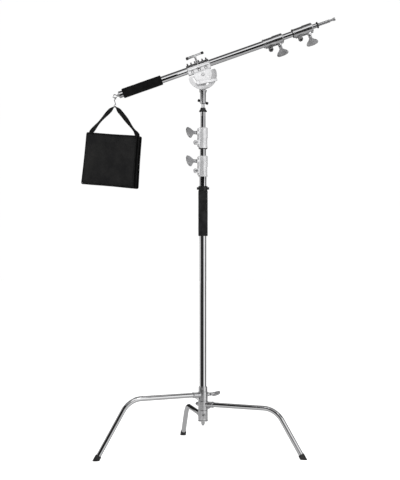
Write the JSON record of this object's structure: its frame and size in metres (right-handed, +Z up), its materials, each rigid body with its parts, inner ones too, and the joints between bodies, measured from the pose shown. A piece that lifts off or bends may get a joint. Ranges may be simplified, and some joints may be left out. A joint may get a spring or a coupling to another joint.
{
  "type": "studio boom stand",
  "caption": "Three-legged studio stand with a telescopic column, a tilting clamp head, a telescopic boom and a sandbag counterweight hung from its low end.",
  "frame": {"origin": "on the floor, at the middle of the footprint box of the whole stand at rest, including the boom and the bag", "axes": "+Z up along the column; +X towards the high end of the boom; the stand faces -Y, and its rear leg points to +Y"},
  "size_m": [1.2882, 0.7948, 2.1821],
  "materials": {
    "chrome_tube": "polished chrome plate",
    "cast_alloy": "cast alloy, plated and lightly polished",
    "wing_knob": "cast alloy, satin plated",
    "zinc_steel": "turned steel, bright zinc",
    "brushed_plate": "pressed steel plate, plated",
    "black_rubber": "matt black moulded rubber",
    "black_foam": "matt black closed-cell foam",
    "black_plastic": "satin black moulded plastic",
    "bag_fabric": "black woven nylon",
    "strap_webbing": "black woven webbing"
  },
  "bodies": {
    "base": {"column_tube": "chrome_tube", "column_plug": "cast_alloy", "rear_bracket": "cast_alloy", "rear_bracket_bolt": "zinc_steel", "rear_leg_tube": "chrome_tube", "rear_foot": "black_rubber", "column_grip": "black_foam", "column_stop_ring": "black_plastic", "lower_collar": "cast_alloy", "lower_collar_bolt": "zinc_steel"},
    "lower_knob": {"lower_collar_knob": "wing_knob"},
    "right_leg": {"right_bracket": "cast_alloy", "right_bracket_bolt": "zinc_steel", "right_leg_tube": "chrome_tube", "right_foot": "black_rubber"},
    "slide": {"slide_collar": "cast_alloy", "slide_collar_screw": "zinc_steel"},
    "left_leg": {"left_bracket": "cast_alloy", "left_leg_tube": "chrome_tube", "left_foot": "black_rubber"},
    "slide_knob": {"slide_knob": "wing_knob"},
    "riser_1": {"middle_riser_tube": "chrome_tube", "upper_collar": "cast_alloy", "upper_collar_bolt": "zinc_steel"},
    "upper_knob": {"upper_collar_knob": "wing_knob"},
    "riser_2": {"top_riser_tube": "chrome_tube", "riser_cap": "black_plastic", "spigot": "zinc_steel"},
    "swivel": {"swivel_socket": "cast_alloy", "pivot_bolt": "zinc_steel"},
    "socket_handle": {"socket_handle": "zinc_steel"},
    "tilt_lever": {"tilt_lever": "cast_alloy"},
    "tilt": {"tilt_plate": "brushed_plate", "boom_saddle": "cast_alloy", "saddle_cap": "cast_alloy", "cap_hinge_pin": "zinc_steel", "saddle_bolt_1": "zinc_steel", "saddle_bolt_2": "zinc_steel", "saddle_bolt_3": "zinc_steel"},
    "cap_handle": {"cap_handle": "zinc_steel"},
    "boom": {"boom_outer_tube": "chrome_tube", "boom_grip": "black_foam", "boom_end_cap": "cast_alloy", "bag_eye": "zinc_steel", "boom_outer_collar": "cast_alloy", "boom_outer_collar_bolt": "zinc_steel"},
    "outer_knob": {"boom_outer_collar_knob": "wing_knob"},
    "boom_2": {"boom_middle_tube": "chrome_tube", "boom_inner_collar": "cast_alloy", "boom_inner_collar_bolt": "zinc_steel"},
    "inner_knob": {"boom_inner_collar_knob": "wing_knob"},
    "boom_3": {"boom_tip_tube": "chrome_tube", "tip_flange": "black_plastic", "tip_pin": "zinc_steel"},
    "hook": {"bag_hook": "zinc_steel"},
    "bag": {"bag_front_pouch": "bag_fabric", "bag_rear_pouch": "bag_fabric", "bag_strap_left": "strap_webbing", "bag_strap_right": "strap_webbing"}
  },
  "joints": [
    {"name": "leg_slide", "type": "slide", "parent": "base", "child": "slide", "axis": [0, 0, 1], "range_m": [0, 0.3]},
    {"name": "left_leg_fold", "type": "hinge", "parent": "slide", "child": "left_leg", "pos_m": [-0.02336, -0.11078, 0.284], "axis": [0, 0, 1], "range_deg": [-105, 20]},
    {"name": "right_leg_fold", "type": "hinge", "parent": "base", "child": "right_leg", "pos_m": [-0.02336, -0.11078, 0.236], "axis": [0, 0, 1], "range_deg": [-20, 128]},
    {"name": "slide_knob_turn", "type": "hinge", "parent": "left_leg", "child": "slide_knob", "pos_m": [-0.02336, -0.11078, 0.284], "axis": [0.8854, 0.4648, 0], "continuous": true},
    {"name": "middle_riser_slide", "type": "slide", "parent": "base", "child": "riser_1", "axis": [0, 0, 1], "range_m": [-0.03, 0.8]},
    {"name": "top_riser_slide", "type": "slide", "parent": "riser_1", "child": "riser_2", "axis": [0, 0, 1], "range_m": [-0.075, 0.8]},
    {"name": "lower_knob_turn", "type": "hinge", "parent": "base", "child": "lower_knob", "pos_m": [-0.02336, -0.11078, 1.458], "axis": [-0.9063, -0.4226, 0], "continuous": true},
    {"name": "upper_knob_turn", "type": "hinge", "parent": "riser_1", "child": "upper_knob", "pos_m": [-0.02336, -0.11078, 1.6005], "axis": [-0.9063, -0.4226, 0], "continuous": true},
    {"name": "boom_pan", "type": "hinge", "parent": "riser_2", "child": "swivel", "pos_m": [-0.02336, -0.11078, 1.749], "axis": [0, 0, 1], "continuous": true},
    {"name": "socket_handle_turn", "type": "hinge", "parent": "swivel", "child": "socket_handle", "pos_m": [-0.02336, -0.11078, 1.761], "axis": [0, 1, 0], "continuous": true},
    {"name": "boom_tilt", "type": "hinge", "parent": "swivel", "child": "tilt", "pos_m": [-0.02336, -0.11078, 1.893], "axis": [0, 1, 0], "range_deg": [-35, 55]},
    {"name": "lever_turn", "type": "hinge", "parent": "swivel", "child": "tilt_lever", "pos_m": [-0.04823, -0.11078, 1.84905], "axis": [0, 1, 0], "range_deg": [-5, 90]},
    {"name": "cap_handle_turn", "type": "hinge", "parent": "tilt", "child": "cap_handle", "pos_m": [-0.05197, -0.14328, 1.94654], "axis": [-0.3322, 0, 0.9432], "continuous": true},
    {"name": "boom_slide", "type": "slide", "parent": "tilt", "child": "boom", "axis": [0.9432, 0, 0.3322], "range_m": [-0.27, 0.13]},
    {"name": "outer_knob_turn", "type": "hinge", "parent": "boom", "child": "outer_knob", "pos_m": [0.35273, -0.11078, 2.07294], "axis": [0.3322, 0, -0.9432], "continuous": true},
    {"name": "boom_middle_slide", "type": "slide", "parent": "boom", "child": "boom_2", "axis": [0.9432, 0, 0.3322], "range_m": [-0.05, 0.45]},
    {"name": "inner_knob_turn", "type": "hinge", "parent": "boom_2", "child": "inner_knob", "pos_m": [0.50175, -0.11078, 2.12542], "axis": [0.3322, 0, -0.9432], "continuous": true},
    {"name": "boom_tip_slide", "type": "slide", "parent": "boom_2", "child": "boom_3", "axis": [0.9432, 0, 0.3322], "range_m": [-0.02, 0.45]},
    {"name": "hook_plumb", "type": "hinge", "parent": "boom", "child": "hook", "pos_m": [-0.46694, -0.11078, 1.78429], "axis": [0, 1, 0], "range_deg": [-55, 35]},
    {"name": "bag_swing", "type": "hinge", "parent": "hook", "child": "bag", "pos_m": [-0.46694, -0.11078, 1.73029], "axis": [0.3746, 0.9272, 0], "range_deg": [-10, 10]}
  ],
  "couplings": [
    {"joint": "hook_plumb", "follows": "boom_tilt", "ratio": -1}
  ]
}
